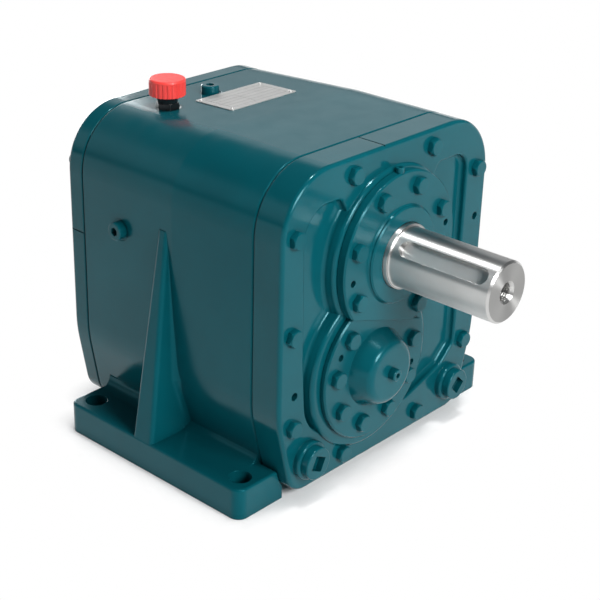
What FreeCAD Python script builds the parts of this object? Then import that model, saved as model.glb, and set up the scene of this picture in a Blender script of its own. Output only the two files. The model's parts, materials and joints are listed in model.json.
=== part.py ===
import FreeCAD, Part
import math
import os

# Concentric gear reducer on two foot bars. The output shaft points to -Y and the input shaft to +Y,
# both on one axis above the origin. The countershaft lies below them, a little to the left.
# The origin is the centre of the four foot holes, on the plane that the feet stand on.

V = FreeCAD.Vector
FRONT, REAR, LEFT, UP = V(0, -1, 0), V(0, 1, 0), V(-1, 0, 0), V(0, 0, 1)

# Driving dimensions in millimetres
shaft_height = 225.0
centre_distance = 115.0
countershaft_offset = -25.0

# Casting: half width and top of its outline at the front, at the widest place and at the rear
front_size, mid_size, rear_size = (152.0, 333.0), (152.0, 332.5), (146.0, 327.0)
body_bottom, bottom_half_width = 8.0, 131.0
lean_height = 90.0
top_corner, lean_corner, bottom_corner = 62.0, 150.0, 24.0
wall = 11.0
mid_section = 5.0
front_face, front_joint = -136.0, -101.0
rear_joint, rear_face = 141.0, 163.0
gasket_thickness, gasket_inset, joint_edge = 1.0, 1.6, 1.2

# Inside the casting: a cross web with a hub for the two bearings that face each other, and lugs
web_span, web_hub_radius, web_hub_span = (-10.0, 6.0), 60.0, (-40.0, 30.0)
web_counter_hole, web_window, web_window_radius = 37.0, (80.0, 95.0), 30.0
web_shoulders = ((30.0, -15.0, -3.0), (22.0, -4.0, 12.0))
lug_radius, lug_length, tap_depth = 12.5, 34.0, 28.0

# Feet and gusset ribs
foot_half_width, foot_inner = 190.0, 100.0
foot_half_length, foot_thickness = 123.0, 32.6
foot_hole_x, foot_hole_y, foot_hole_radius = 169.0, 104.0, 11.0
foot_corner, foot_edge, foot_fillet = 11.0, 2.5, 13.0
cover_gap = 1.2
rib_base, rib_top, rib_inner, rib_edge, rib_sink = 28.6, 243.0, 125.0, 4.0, 1.0
rib_base_y, rib_top_y, rib_flare = (-2.5, 25.5), (12.0, 24.0), 10.0

# Front cover
pocket_depth, pocket_fillet, pocket_edge = 8.0, 4.0, 2.5
cover_edge, boss_proud, boss_edge, boss_fillet = 4.0, 4.0, 4.5, 4.0
output_boss, counter_boss = 86.5, 86.5
left_pocket = [(-74.0, 296.5, 9.0), (-123.5, 298.5, 30.0), (-119.5, 150.0, 60.0), (-114.0, 74.0, 45.0),
               (-60.0, 46.0, 7.0), (-40.0, 112.0, 7.0), (-30.0, 225.0, 7.0)]
right_pocket = [(70.0, 296.0, 8.0), (30.0, 225.0, 7.0), (10.0, 112.0, 7.0), (35.0, 46.5, 7.0),
                (97.0, 65.5, 9.0), (117.5, 84.0, 14.0), (117.5, 296.0, 18.0)]
cover_plate_back, cover_rim = -112.0, 27.0
output_cover_hub, counter_cover_hub = (62.0, -104.0), (52.0, -107.0)
front_bolts = [(58.0, 315.5), (134.5, 275.0), (135.5, 179.3), (132.5, 83.0), (58.5, 25.0)]
bolt_spot = 10.5
dowels, dowel_radius, dowel_half_length = [(137.5, 222.0), (-131.0, 116.5)], 4.0, 16.0
drain_x, drain_z, drain_boss, drain_boss_proud, drain_boss_edge = 110.5, 41.3, 20.0, 7.0, 2.5
seam_width, seam_depth, top_seam_x, side_seam_z = 1.6, 1.0, -14.0, 202.0

# Rear cover
rear_edge = 5.0
rear_bolts = [(56.0, 311.0), (131.0, 271.0), (130.0, 177.0), (126.0, 84.0), (58.0, 24.0)]
input_cover_hub, counter_rear_hub = (52.0, 128.0), (48.0, 130.0)

# Caps on the front: both are cut flat along one chord, and their bolts lie even to its two sides
cap_edge, shim_thickness, spigot_gap = 1.5, 0.5, 0.1
output_cap_radius, output_cap_face = 82.5, -149.5
output_hub_radius, output_hub_face = 48.5, -153.5
output_lip, output_seal_radius, output_seal_span = 33.2, 45.0, (-150.0, -139.0)
counter_cap_radius, counter_cap_face = 75.0, -146.0
chord_angle, chord_distance, chord_gap = 252.0, 66.1, 0.5
output_cap_circle, counter_cap_circle = 68.0, 58.0
output_cap_angles = [chord_angle + 45.0 * i for i in range(1, 8)]
counter_cap_angles = [chord_angle - 118.8 + 39.6 * i for i in range(7)]
output_jack_holes, counter_jack_holes, jack_hole_radius = [11.0, 187.5], [152.0, 344.0], 3.4
dome_base, dome_shoulder, dome_face, dome_round, dome_wall = 40.5, 31.0, -166.5, 9.0, 6.0

# Caps on the rear
input_cap_radius, input_cap_face, input_hub_radius, input_hub_face = 58.0, 175.0, 36.0, 181.0
input_lip, input_seal_radius, input_seal_span = 22.0, 31.0, (167.0, 176.0)
rear_cap_radius, rear_cap_face, rear_cap_hollow = 54.0, 173.0, (29.0, 165.0)
input_cap_circle, rear_cap_circle = 49.0, 45.5
input_cap_angles, rear_cap_angles = range(0, 360, 60), range(30, 390, 60)

# Shaft ends
output_end_radius, output_shoulder, output_end, output_chamfer = 30.0, -158.0, -271.0, 2.0
shoulder_fillet = 1.8
output_key_width, output_key_depth, output_key_angle = 16.0, 7.0, 140.0
output_keyway = (-264.0, -165.0)
output_tap_radius, output_tap_depth, output_tap_mouth = 8.75, 42.0, 11.2
input_end_radius, input_shoulder, input_end, input_chamfer = 19.0, 183.0, 263.0, 1.5
input_key_width, input_key_depth, input_key_angle, input_keyway = 10.0, 5.0, 135.0, (188.0, 258.0)
input_tap_radius, input_tap_depth = 5.1, 28.0

# Shaft steps inside
output_collar, output_gear_seat, output_shaft_back = 40.0, 36.0, -15.5
counter_neck, counter_collar, counter_gear_seat, counter_stub = 24.5, 27.0, 22.5, -152.0
input_neck, input_land = 24.5, 19.5
output_spacer_radius, counter_spacer_radius = 34.0, 23.0
output_gear_key, fast_gear_key = (20.0, 12.0, 7.5), (14.0, 9.0, 5.5)

# Gears: both stages share the centre distance, so their tooth sums set the transverse modules
pressure_angle = math.radians(20.0)
output_teeth, pinion_teeth, low_module = 47, 16, 3.5
fast_teeth, input_teeth, high_module = 55, 19, 3.0
low_face, high_face, pinion_overhang = (-92.0, -47.0), (36.0, 72.0), 2.0
tooth_thinning = 0.3

# Taper roller bearings: bore radius, outside radius, width, y of the cup's back, way the back faces
output_front_bearing = (32.5, 50.0, 23.0, -128.0, -1)
output_rear_bearing = (27.5, 45.0, 23.0, -15.0, 1)
counter_front_bearing = (20.0, 40.0, 20.0, -128.0, -1)
counter_rear_bearing = (17.5, 36.0, 18.0, 150.0, 1)
input_front_bearing = (15.0, 31.0, 17.0, 12.0, -1)
input_rear_bearing = (20.0, 40.0, 20.0, 150.0, 1)
contact_angle = math.radians(12.0)
roller_gap, window_gap, seat_gap, lip_gap = 0.12, 0.3, 0.02, 0.05

# Fasteners and fittings
m10 = {"shank": 5.0, "flats": 16.0, "head": 6.4}
m8 = {"shank": 4.0, "flats": 13.0, "head": 5.3}
hole_gap = 0.25
drain_plug_size = {"head": 16.5, "height": 8.0, "shank": 12.0, "length": 22.0, "socket": 14.8}
wall_plug_size = {"head": 9.2, "height": 9.0, "shank": 7.0, "length": 14.0, "socket": 8.0}
dome_plug_size = {"head": 6.2, "height": 7.5, "shank": 5.0, "length": 8.0, "socket": 5.0}
purge_plug_size = {"head": 4.2, "height": 5.5, "shank": 3.0, "length": 9.0, "socket": 3.5}
spot_depth, spot_margin = 0.6, 2.3
breather_x, breather_y, breather_shank, breather_flats = -72.0, 95.0, 8.0, 20.5
breather_neck, breather_collar, breather_cap_radius, breather_cap_height = 14.0, 11.8, 18.2, 16.5
fill_x, fill_y = -6.0, 102.5
level_y, level_z = 82.0, 224.0
purge_x, purge_y = -3.5, -144.9
plate_x, plate_y, plate_length, plate_width, plate_thickness = 7.5, 64.0, 94.0, 53.0, 0.8
plate_pin_inset, plate_pin_radius, plate_pin_length = 4.5, 1.4, 6.5

# Worked out from the driving dimensions
counter_drop = math.sqrt(centre_distance ** 2 - countershaft_offset ** 2)
main = (0.0, shaft_height)
counter = (countershaft_offset, shaft_height - counter_drop)
line_of_centres = math.atan2(-counter_drop, countershaft_offset)
low_transverse = 2 * centre_distance / (output_teeth + pinion_teeth)
high_transverse = 2 * centre_distance / (fast_teeth + input_teeth)
boss_face = front_face - boss_proud
pocket_floor = front_face + pocket_depth
cover_back = front_joint - gasket_thickness / 2
rear_cover_front = rear_joint + gasket_thickness / 2
housing_span = (front_joint + gasket_thickness / 2, rear_joint - gasket_thickness / 2)
side_slope = (mid_size[0] - rear_size[0]) / (rear_joint - mid_section)
rear_slope = (mid_size[1] - rear_size[1]) / (rear_joint - mid_section)


def polar(centre, radius, angle, y):
    """Point at an angle round an axis that runs along Y."""
    return V(centre[0] + radius * math.cos(angle), y, centre[1] + radius * math.sin(angle))


def rounded_wire(corners, y):
    """Closed outline in the plane y through (x, z, radius) corners, each rounded by a tangent arc."""
    arcs = []
    for i, (x, z, radius) in enumerate(corners):
        here = V(x, y, z)
        next_x, next_z = corners[(i + 1) % len(corners)][:2]
        before = V(corners[i - 1][0], y, corners[i - 1][1]) - here
        after = V(next_x, y, next_z) - here
        before.normalize()
        after.normalize()
        half = before.getAngle(after) / 2
        inward = before + after
        inward.normalize()
        reach = radius / math.tan(half)
        middle = here + inward * (radius / math.sin(half) - radius)
        arcs.append((here + before * reach, middle, here + after * reach))
    edges = []
    for i, (start, middle, end) in enumerate(arcs):
        edges.append(Part.Arc(start, middle, end).toShape())
        edges.append(Part.LineSegment(end, arcs[(i + 1) % len(arcs)][0]).toShape())
    return Part.Wire(edges)


def body_outline(size, y, inset=0.0):
    """The casting's outline, or one that lies inside it by inset."""
    wide, top = (value - inset for value in size)
    corner = top_corner - inset
    low = body_bottom + inset
    narrow = bottom_half_width - inset
    low_radius = max(bottom_corner - inset, 6.0)
    corners = [(-wide, top, corner), (wide, top, corner),
               (wide, lean_height, lean_corner), (narrow, low, low_radius),
               (-narrow, low, low_radius), (-wide, lean_height, lean_corner)]
    return rounded_wire(corners, y)


def prism(wire, length):
    """Solid with a flat outline, drawn out along Y."""
    return Part.Face(wire).extrude(V(0, length, 0))


def drum(centre, radius, y0, y1):
    """Cylinder along Y."""
    return Part.makeCylinder(radius, y1 - y0, V(centre[0], y0, centre[1]), REAR)


def drums(places, radius, y0, y1):
    return [drum(place, radius, y0, y1) for place in places]


def turned(centre, profile):
    """Solid turned about an axis along Y from (radius, y) points."""
    points = [V(centre[0] + r, y, centre[1]) for r, y in profile]
    face = Part.Face(Part.makePolygon(points + points[:1]))
    return face.revolve(V(centre[0], 0, centre[1]), REAR, 360)


def hexagon(across_flats, height, base=0.0):
    """Hexagonal prism along +Z."""
    radius = across_flats / math.sqrt(3)
    angles = [i * math.pi / 3 for i in range(7)]
    points = [V(radius * math.cos(angle), radius * math.sin(angle), base) for angle in angles]
    return Part.Face(Part.makePolygon(points)).extrude(V(0, 0, height))


def aimed(shape, place, direction, spin=0.0):
    """Copy of a shape made along +Z, moved to a place and pointed along a direction."""
    copy = shape.copy()
    turn = FreeCAD.Rotation(UP, direction) * FreeCAD.Rotation(UP, spin)
    copy.Placement = FreeCAD.Placement(place, turn)
    return copy


def both_sides(places):
    return [(side * x, z) for x, z in places for side in (-1, 1)]


def on_circle(centre, radius, degrees):
    points = [polar(centre, radius, math.radians(angle), 0) for angle in degrees]
    return [(point.x, point.z) for point in points]


def round_edges(shape, radius, chosen):
    """Fillet on the edges that a test picks."""
    return shape.makeFillet(radius, [edge for edge in shape.Edges if chosen(edge)])


def edges_at(y):
    """Test for edges that lie in the plane y."""
    return lambda edge: all(abs(vertex.Point.y - y) < 1e-6 for vertex in edge.Vertexes)


def top_height(y):
    """Height of the casting's top behind its widest place."""
    return mid_size[1] - rear_slope * (y - mid_section)


def level_seat():
    """Spot face of the level plug on the left wall."""
    out = mid_size[0] - side_slope * (level_y - mid_section) - spot_depth
    return V(-out, level_y, level_z)


def top_seat(x, y):
    """Spot face of a fitting on the top."""
    return V(x, y, top_height(y) - spot_depth)


def plate_pins():
    reach_x = plate_length / 2 - plate_pin_inset
    reach_y = plate_width / 2 - plate_pin_inset
    return [(plate_x + sx * reach_x, plate_y + sy * reach_y) for sx in (-1, 1) for sy in (-1, 1)]


def gusset(side):
    """Tapered rib from the foot's outer edge up the side wall, with cast fillets where it meets the wall."""
    wall_x = mid_size[0] - rib_sink
    lean = (mid_size[0] - bottom_half_width) / (lean_height - body_bottom)

    def upwards(start, end, z):
        return start + (end - start) * (z - rib_base) / (rib_top - rib_base)

    def outer_at(z):
        return upwards(foot_half_width, wall_x + 1.2 * rib_sink, z)

    def section(z, root, flare):
        y0, y1 = (upwards(low, high, z) for low, high in zip(rib_base_y, rib_top_y))
        bend = flare * (1 - math.sqrt(0.5))

        def flank(y, out):
            edge = y + out * flare
            base = root - max(0.0, side_slope * (edge - mid_section))
            corners = [(rib_inner, edge), (base, edge), (base + bend, y + out * bend), (base + flare, y),
                       (outer_at(z), y)]
            return [V(side * x, y, z) for x, y in corners]

        in0, end0, bend0, neck0, out0 = flank(y0, -1)
        in1, end1, bend1, neck1, out1 = flank(y1, 1)
        lines = [Part.LineSegment(*ends) for ends in ((neck0, out0), (out0, out1), (out1, neck1))]
        back = [Part.LineSegment(*ends) for ends in ((end1, in1), (in1, in0), (in0, end0))]
        loop = [Part.Arc(end0, bend0, neck0)] + lines + [Part.Arc(neck1, bend1, end1)] + back
        return Part.Wire([curve.toShape() for curve in loop])

    low_root = bottom_half_width + lean * (rib_base - body_bottom) - rib_sink
    sections = [section(rib_base, low_root, rib_flare), section(lean_height, wall_x - rib_sink, rib_flare),
                section(rib_top, wall_x, rib_sink / 2)]
    rib = Part.makeLoft(sections, True, True)

    def outer_edge(edge):
        ends = [vertex.Point for vertex in edge.Vertexes]
        rises = abs(ends[0].z - ends[-1].z) > foot_thickness
        return rises and all(abs(abs(end.x) - outer_at(end.z)) < 0.01 for end in ends)

    return round_edges(rib, rib_edge, outer_edge)


def foot(side):
    """Foot bar with rounded ends and a fillet up the body's side."""
    low_x = min(side * foot_inner, side * foot_half_width)
    bar = Part.makeBox(foot_half_width - foot_inner, 2 * foot_half_length, foot_thickness,
                       V(low_x, -foot_half_length, 0))

    def outer_corner(edge):
        middle = edge.CenterOfMass
        return abs(middle.x) > foot_half_width - 1 and abs(middle.y) > foot_half_length - 1

    def top_rim(edge):
        level = all(abs(vertex.Point.z - foot_thickness) < 1e-6 for vertex in edge.Vertexes)
        return level and abs(edge.CenterOfMass.x) > foot_inner + 1

    bar = round_edges(round_edges(bar, foot_corner, outer_corner), foot_edge, top_rim)
    fillet_front = housing_span[0] + 2.5
    fillet_back = foot_half_length - 2 * foot_edge
    wall_x = bottom_half_width + 8.0
    start = V(side * (wall_x + foot_fillet), fillet_front, foot_thickness)
    middle = V(side * (wall_x + 3.8), fillet_front, foot_thickness + 3.8)
    end = V(side * wall_x, fillet_front, foot_thickness + foot_fillet)
    root = V(side * (wall_x - foot_fillet), fillet_front, foot_thickness)
    wire = Part.Wire([Part.Arc(start, middle, end).toShape(), Part.LineSegment(end, root).toShape(),
                      Part.LineSegment(root, start).toShape()])
    return bar.fuse(prism(wire, fillet_back - fillet_front))


def cover_room():
    """Room that the feet leave for the front cover's lower corners."""
    length = housing_span[0] - front_face
    corner = V(-bottom_half_width, front_face, -1)
    return [prism(body_outline(front_size, front_face, -cover_gap), length),
            Part.makeBox(2 * bottom_half_width, length, foot_thickness, corner)]


def housing_web(outer):
    """Cross web with the middle bearing hub, a way for the countershaft and a window for the oil."""
    slab = outer.common(Part.makeBox(2 * foot_half_width, web_span[1] - web_span[0], 2 * shaft_height,
                                     V(-foot_half_width, web_span[0], 0)))
    slab = slab.cut(drums([counter], web_counter_hole, *web_hub_span)
                    + drums([web_window], web_window_radius, *web_hub_span))
    return slab.fuse(drum(main, web_hub_radius, *web_hub_span))


def housing_holes():
    """Tapped holes for covers and fittings, bearing seats, dowel holes and foot holes."""
    shank = m10["shank"] + hole_gap
    holes = drums(both_sides(front_bolts), shank, front_joint, front_joint + tap_depth)
    holes += drums(both_sides(rear_bolts), shank, rear_joint - tap_depth, rear_joint)
    holes += drums(dowels, dowel_radius + seat_gap, front_joint, front_joint + dowel_half_length + 1)
    holes.append(drum(main, output_rear_bearing[1] + seat_gap, web_hub_span[0], output_rear_bearing[3]))
    holes.append(drum(main, input_front_bearing[1] + seat_gap, input_front_bearing[3], web_hub_span[1]))
    holes += [drum(main, radius, y0, y1) for radius, y0, y1 in web_shoulders]
    for x in (-foot_hole_x, foot_hole_x):
        for y in (-foot_hole_y, foot_hole_y):
            holes.append(Part.makeCylinder(foot_hole_radius, 2 * foot_thickness, V(x, y, -1)))
    seats = [(top_seat(breather_x, breather_y), UP, breather_shank, breather_collar + 1.0),
             (top_seat(fill_x, fill_y), UP, wall_plug_size["shank"], wall_plug_size["head"] + spot_margin),
             (level_seat(), LEFT, wall_plug_size["shank"], wall_plug_size["head"] + spot_margin)]
    for seat, out, radius, spot in seats:
        holes.append(aimed(Part.makeCylinder(radius + hole_gap, 4 * wall), seat - out * 3 * wall, out))
        holes.append(aimed(Part.makeCylinder(spot, wall), seat, out))
    for x, y in plate_pins():
        low = V(x, y, top_height(y) - plate_pin_length - 1)
        holes.append(Part.makeCylinder(plate_pin_radius + 0.4, 2 * plate_pin_length, low))
    return holes


def gear_housing():
    """Hollow casting: drafted shell open at both ends, inner web with two bearing seats, feet and ribs."""
    front, rear = housing_span
    sections = ((front_size, front, joint_edge), (front_size, front + joint_edge, 0.0),
                (mid_size, mid_section, 0.0),
                (rear_size, rear - joint_edge, 0.0), (rear_size, rear, joint_edge))
    outer = Part.makeLoft([body_outline(*section) for section in sections], True, True)
    inner = Part.makeLoft([body_outline(size, y, wall) for size, y in
                           ((front_size, front), (mid_size, mid_section), (rear_size, rear))], True, True)
    lugs = drums(both_sides(front_bolts), lug_radius, housing_span[0], front_joint + lug_length)
    lugs += drums(both_sides(rear_bolts), lug_radius, rear_joint - lug_length, housing_span[1])
    lugs += drums(dowels, lug_radius, housing_span[0], front_joint + dowel_half_length + wall)
    fittings = ((top_seat(breather_x, breather_y), UP), (top_seat(fill_x, fill_y), UP), (level_seat(), LEFT))
    for seat, out in fittings:
        lugs.append(aimed(Part.makeCylinder(lug_radius + 2, 1.8 * wall), seat - out * 1.7 * wall, out))
    feet = [foot(side).cut(cover_room()) for side in (-1, 1)]
    shell = outer.fuse(feet + [gusset(-1), gusset(1)]).cut(inner)
    shell = shell.fuse([housing_web(outer)] + [lug.common(outer) for lug in lugs])
    return shell.cut(housing_holes()).removeSplitter()


def joint_gasket(y, size, bolts, pins):
    """Flat gasket between the housing's end and a cover, a little inside the outline."""
    end = y + gasket_thickness
    sheet = prism(body_outline(size, y, gasket_inset), gasket_thickness)
    opening = prism(body_outline(size, y, wall), gasket_thickness)
    eyes = [eye.common(sheet) for eye in drums(both_sides(bolts) + pins, lug_radius, y, end)]
    holes = drums(both_sides(bolts), m10["shank"] + 2 * hole_gap, y, end)
    holes += drums(pins, dowel_radius + 2 * hole_gap, y, end)
    return sheet.cut(opening).fuse(eyes).cut(holes).removeSplitter()


def boss(centre, radius):
    """Raised bearing boss with a rounded rim and a fillet that runs out on the pocket floor."""
    def at(r, y):
        return V(centre[0] + r, y, centre[1])

    bend = 1 - math.sqrt(0.5)
    side = radius + 1
    foot_radius = side + boss_fillet
    rim_start, rim_end = at(radius - boss_edge, boss_face), at(radius, boss_face + boss_edge)
    rim_middle = at(radius - boss_edge * bend, boss_face + boss_edge * bend)
    foot_start, foot_end = at(side, pocket_floor - boss_fillet), at(foot_radius, pocket_floor)
    foot_middle = at(side + boss_fillet * bend, pocket_floor - boss_fillet * bend)
    back = pocket_floor + 2
    corners = [foot_end, at(foot_radius, back), at(0, back), at(0, boss_face), rim_start]
    edges = [Part.Arc(rim_start, rim_middle, rim_end), Part.LineSegment(rim_end, foot_start),
             Part.Arc(foot_start, foot_middle, foot_end)]
    edges += [Part.LineSegment(a, b) for a, b in zip(corners, corners[1:])]
    face = Part.Face(Part.Wire([edge.toShape() for edge in edges]))
    return face.revolve(V(centre[0], 0, centre[1]), REAR, 360)


def pocket(outline):
    """Cutter for a shallow pocket with a filleted floor."""
    tool = prism(rounded_wire(outline, boss_face), pocket_floor - boss_face)
    return round_edges(tool, pocket_fillet, edges_at(pocket_floor))


def drain_boss_pair():
    """Round bosses round the drain plugs, in front of the cover and behind its plate."""
    bosses = []
    for place in both_sides([(drain_x, drain_z)]):
        proud = front_face - drain_boss_proud
        nose = drum(place, drain_boss, proud, pocket_floor)
        bosses.append(round_edges(nose, drain_boss_edge, edges_at(proud)))
        bosses.append(drum(place, drain_boss, pocket_floor, cover_back))
    return bosses


def cover_holes():
    """Bearing bores, bolt holes, dowel holes and plug holes of the front cover."""
    shank = m10["shank"] + hole_gap
    holes = [drum(main, output_front_bearing[1] + seat_gap, boss_face, cover_back + 1),
             drum(counter, counter_front_bearing[1] + seat_gap, boss_face, cover_back + 1)]
    holes += drums(both_sides(front_bolts), shank, front_face, cover_back)
    holes += drums(dowels, dowel_radius + seat_gap, front_face, cover_back)
    cap_places = on_circle(main, output_cap_circle, output_cap_angles)
    cap_places += on_circle(counter, counter_cap_circle, counter_cap_angles)
    holes += drums(cap_places, shank, boss_face, cover_plate_back - 2)
    drain_hole = drain_plug_size["shank"] + hole_gap
    holes += drums(both_sides([(drain_x, drain_z)]), drain_hole, front_face - drain_boss_proud, cover_back)
    holes += drums(both_sides(front_bolts), bolt_spot, boss_face, front_face)
    length = cover_back - front_face
    holes.append(Part.makeBox(seam_width, length, 2 * seam_depth,
                              V(top_seam_x - seam_width / 2, front_face, front_size[1] - seam_depth)))
    return holes


def front_cover():
    """Thick cast cover: rim with bolts, two pockets, bearing bosses in front and hubs behind."""
    blank = prism(body_outline(front_size, front_face), cover_back - front_face)
    blank = round_edges(blank, cover_edge, edges_at(front_face))
    blank = round_edges(blank, joint_edge, edges_at(cover_back))
    hollow = prism(body_outline(front_size, cover_plate_back, cover_rim), cover_back - cover_plate_back)
    in_face = edges_at(front_face)

    def pocket_mouth(edge):
        x, z = abs(edge.CenterOfMass.x), edge.CenterOfMass.z
        return in_face(edge) and x < front_size[0] - cover_rim and cover_rim < z < front_size[1] - cover_rim

    raised = [boss(main, output_boss), boss(counter, counter_boss)]
    raised += [drum(main, output_cover_hub[0], cover_plate_back - 1, output_cover_hub[1]),
               drum(counter, counter_cover_hub[0], cover_plate_back - 1, counter_cover_hub[1])]
    raised += drums(both_sides(front_bolts), lug_radius - 1, cover_plate_back, cover_back)
    body = round_edges(blank.cut([pocket(left_pocket), pocket(right_pocket)]), pocket_edge, pocket_mouth)
    return body.cut(hollow).fuse(raised + drain_boss_pair()).cut(cover_holes()).removeSplitter()


def beyond_chord(lower):
    """Half space that trims one cap along the flat between the two caps."""
    size = 4 * output_cap_radius
    down = polar((0, 0), 1, math.radians(chord_angle), 0)
    away = chord_distance + (chord_gap / 2 if lower else -chord_gap / 2)
    block = Part.makeBox(size, size, size, V(-size / 2, -size / 2, 0))
    return aimed(block, V(main[0], boss_face, main[1]) + down * away, -down if lower else down)


def cap_holes(centre, face, circle, angles, jacks):
    """Bolt holes and jack screw holes of a front cap."""
    holes = drums(on_circle(centre, circle, angles), m10["shank"] + hole_gap, face, boss_face)
    return holes + drums(on_circle(centre, circle + 2.0, jacks), jack_hole_radius, face, boss_face)


def purge_seat():
    """Spot face of the purge plug on top of the upper cap's rim."""
    rise = math.sqrt(output_cap_radius ** 2 - purge_x ** 2)
    return V(purge_x, purge_y, shaft_height + rise - spot_depth)


def output_seal_cage():
    """Upper cap: bolted flange with a raised hub round the shaft and a seal pocket behind it."""
    seat = boss_face - shim_thickness
    spigot = output_front_bearing[1] - spigot_gap
    back = output_front_bearing[3]
    hub, rim, cap_face = output_hub_radius, output_cap_radius, output_cap_face
    cage = turned(main, [(output_lip, output_hub_face), (hub - cap_edge, output_hub_face),
                         (hub, output_hub_face + cap_edge), (hub, cap_face - cap_edge),
                         (hub + cap_edge, cap_face), (rim - cap_edge, cap_face), (rim, cap_face + cap_edge),
                         (rim, seat), (spigot, seat), (spigot, back), (output_seal_radius, back),
                         (output_seal_radius, output_seal_span[0]), (output_lip, output_seal_span[0])])
    holes = cap_holes(main, cap_face, output_cap_circle, output_cap_angles, output_jack_holes)
    depth = purge_plug_size["length"] + 1
    holes.append(Part.makeCylinder(purge_plug_size["shank"] + hole_gap, depth, purge_seat(), -UP))
    holes.append(Part.makeCylinder(purge_plug_size["head"] + 0.4, depth, purge_seat()))
    return cage.cut(holes + [beyond_chord(False)])


def countershaft_cover():
    """Lower cap with a hollow dome over the end of the countershaft."""
    seat = boss_face - shim_thickness
    spigot = counter_front_bearing[1] - spigot_gap
    back = counter_front_bearing[3]
    rim, cap_face = counter_cap_radius, counter_cap_face
    dome = turned(counter, [(0, dome_face), (dome_shoulder, dome_face), (dome_base, cap_face),
                            (dome_base, seat), (0, seat)])
    dome = round_edges(dome, dome_round, edges_at(dome_face))
    flange = turned(counter, [(0, cap_face), (rim - cap_edge, cap_face), (rim, cap_face + cap_edge),
                              (rim, seat), (spigot, seat), (spigot, back), (0, back)])
    ceiling = dome_face + dome_wall
    room = turned(counter, [(0, ceiling), (dome_shoulder - 2 * dome_wall, ceiling),
                            (dome_shoulder - dome_wall, ceiling + dome_wall),
                            (spigot - dome_wall, back), (0, back)])
    plug_hole = drum(counter, dome_plug_size["shank"] + hole_gap, dome_face, dome_face + 2 * dome_wall)
    holes = cap_holes(counter, cap_face, counter_cap_circle, counter_cap_angles, counter_jack_holes)
    return dome.fuse(flange).cut(holes + [room, plug_hole, beyond_chord(True)])


def cap_shims(centre, bore, rim, circle, angles, y, trims):
    """Thin shim pack under a cap, which sets the play of its bearings."""
    end = y + shim_thickness
    holes = drums(on_circle(centre, circle, angles), m10["shank"] + 2 * hole_gap, y, end)
    return drum(centre, rim - 1, y, end).cut(holes + [drum(centre, bore + 1, y, end)] + trims)


def rear_cover():
    """Flat rear cover with the rear bearing seats of the input shaft and the countershaft."""
    length = rear_face - rear_cover_front
    blank = prism(body_outline(rear_size, rear_cover_front), length)
    blank = round_edges(blank, rear_edge, edges_at(rear_face))
    blank = round_edges(blank, joint_edge, edges_at(rear_cover_front))
    hubs = [drum(main, input_cover_hub[0], input_cover_hub[1], rear_joint + 2),
            drum(counter, counter_rear_hub[0], counter_rear_hub[1], rear_joint + 2)]
    holes = [drum(main, input_rear_bearing[1] + seat_gap, input_cover_hub[1], rear_face),
             drum(counter, counter_rear_bearing[1] + seat_gap, counter_rear_hub[1], rear_face)]
    holes += drums(both_sides(rear_bolts), m10["shank"] + hole_gap, rear_cover_front, rear_face)
    cap_places = on_circle(main, input_cap_circle, input_cap_angles)
    cap_places += on_circle(counter, rear_cap_circle, rear_cap_angles)
    holes += drums(cap_places, m8["shank"] + hole_gap, rear_cover_front + 4, rear_face)
    holes.append(Part.makeBox(2 * seam_depth, length, seam_width,
                              V(-rear_size[0] - seam_depth, rear_cover_front, side_seam_z - seam_width / 2)))
    return blank.fuse(hubs).cut(holes).removeSplitter()


def input_seal_cage():
    """Rear cap round the input shaft, with a seal pocket."""
    seat = rear_face + shim_thickness
    spigot = input_rear_bearing[1] - spigot_gap
    back = input_rear_bearing[3]
    hub, rim = input_hub_radius, input_cap_radius
    cage = turned(main, [(input_lip, input_hub_face), (hub - cap_edge, input_hub_face),
                         (hub, input_hub_face - cap_edge), (hub, input_cap_face + cap_edge),
                         (hub + cap_edge, input_cap_face), (rim - cap_edge, input_cap_face),
                         (rim, input_cap_face - cap_edge), (rim, seat), (spigot, seat), (spigot, back),
                         (input_seal_radius, back), (input_seal_radius, input_seal_span[1]),
                         (input_lip, input_seal_span[1])])
    places = on_circle(main, input_cap_circle, input_cap_angles)
    return cage.cut(drums(places, m8["shank"] + hole_gap, rear_face, input_cap_face))


def countershaft_rear_cap():
    """Plain rear cap that closes the countershaft's bore."""
    seat = rear_face + shim_thickness
    spigot = counter_rear_bearing[1] - spigot_gap
    back = counter_rear_bearing[3]
    hollow, floor = rear_cap_hollow
    rim = rear_cap_radius
    cap = turned(counter, [(0, rear_cap_face), (rim - cap_edge, rear_cap_face),
                           (rim, rear_cap_face - cap_edge), (rim, seat), (spigot, seat), (spigot, back),
                           (hollow, back), (hollow, floor), (0, floor)])
    places = on_circle(counter, rear_cap_circle, rear_cap_angles)
    return cap.cut(drums(places, m8["shank"] + hole_gap, rear_face, rear_cap_face))


def bolt_group(size, length, places, y, outward):
    """Equal hex bolts with chamfered heads, each stopped at another angle."""
    head = hexagon(size["flats"], size["head"])
    crown = Part.makeCone(0.75 * size["flats"], 0.47 * size["flats"], size["head"])
    bolt = head.common(crown).fuse(Part.makeCylinder(size["shank"], length, V(0, 0, -length)))
    return Part.makeCompound([aimed(bolt, V(x, y, z), outward, 17.0 * i) for i, (x, z) in enumerate(places)])


def plug_blank(size):
    """Round plug along +Z with a rounded head, its seat at z = 0."""
    height = size["height"]
    head = Part.makeCylinder(size["head"], height)
    head = round_edges(head, 0.17 * height, lambda edge: edge.BoundBox.ZMin > 0.9 * height)
    return head.fuse(Part.makeCylinder(size["shank"], size["length"], V(0, 0, -size["length"])))


def drain_plug(side, spin):
    """Pipe plug with a square socket, screwed into its boss."""
    socket = drain_plug_size["socket"]
    hole = Part.makeBox(socket, socket, drain_plug_size["height"], V(-socket / 2, -socket / 2, 1))
    seat = V(side * drain_x, front_face - drain_boss_proud, drain_z)
    return aimed(plug_blank(drain_plug_size).cut(hole), seat, FRONT, spin)


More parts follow.
